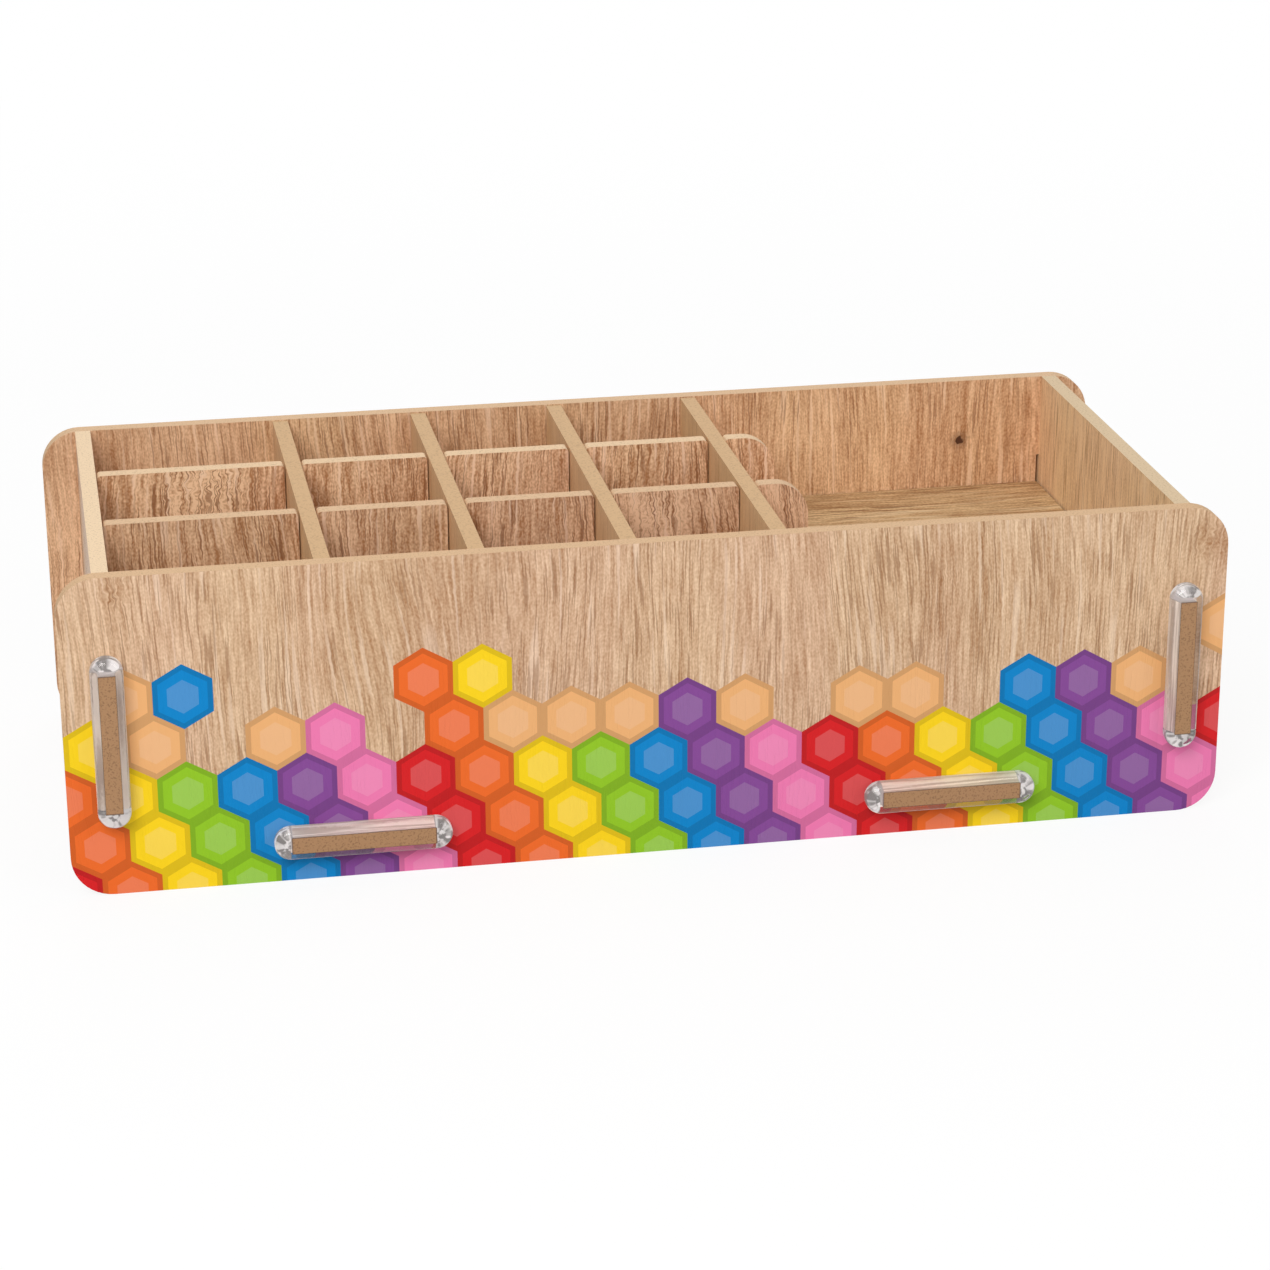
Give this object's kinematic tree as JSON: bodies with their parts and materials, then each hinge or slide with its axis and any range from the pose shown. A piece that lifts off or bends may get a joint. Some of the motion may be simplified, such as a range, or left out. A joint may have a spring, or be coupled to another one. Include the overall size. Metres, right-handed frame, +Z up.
{
  "type": "wooden pencil box",
  "caption": "Open-top slot-together pencil box of oak-decor board with a lift-out lattice of dividers, a raised side tray and clear clips on the panel tabs.",
  "frame": {"origin": "middle of the box on the table, under the centre of its bounding box", "axes": "+X along the front towards the tray, -Y out of the printed front, +Z up"},
  "size_m": [0.286, 0.132, 0.0805],
  "materials": {
    "oak_board": "matte oak decor",
    "printed_board": "matte oak decor with a colour print low on the outer face",
    "clear_clip": "clear gloss"
  },
  "bodies": {
    "box": {"front_panel": "printed_board", "back_panel": "oak_board", "left_panel": "oak_board", "right_panel": "oak_board", "bottom_panel": "oak_board", "front_left_clip": "clear_clip", "front_right_clip": "clear_clip", "front_bottom_left_clip": "clear_clip", "front_bottom_right_clip": "clear_clip", "back_left_clip": "clear_clip", "back_right_clip": "clear_clip", "back_bottom_left_clip": "clear_clip", "back_bottom_right_clip": "clear_clip"},
    "long_dividers": {"front_long_divider": "oak_board", "back_long_divider": "oak_board"},
    "cross_divider_1": {"cross_divider_1": "oak_board"},
    "cross_divider_2": {"cross_divider_2": "oak_board"},
    "cross_divider_3": {"cross_divider_3": "oak_board"},
    "cross_divider_4": {"cross_divider_4": "oak_board"},
    "tray_floor": {"tray_floor": "oak_board"}
  },
  "joints": [
    {"name": "long_dividers_lift", "type": "slide", "parent": "box", "child": "long_dividers", "axis": [0, 0, 1], "range_m": [0, 0.075]},
    {"name": "cross_divider_1_lift", "type": "slide", "parent": "long_dividers", "child": "cross_divider_1", "axis": [0, 0, 1], "range_m": [0, 0.075]},
    {"name": "cross_divider_2_lift", "type": "slide", "parent": "long_dividers", "child": "cross_divider_2", "axis": [0, 0, 1], "range_m": [0, 0.075]},
    {"name": "cross_divider_3_lift", "type": "slide", "parent": "long_dividers", "child": "cross_divider_3", "axis": [0, 0, 1], "range_m": [0, 0.075]},
    {"name": "cross_divider_4_lift", "type": "slide", "parent": "long_dividers", "child": "cross_divider_4", "axis": [0, 0, 1], "range_m": [0, 0.075]},
    {"name": "tray_floor_lift", "type": "slide", "parent": "long_dividers", "child": "tray_floor", "axis": [0, 0, 1], "range_m": [0, 0.04]}
  ]
}
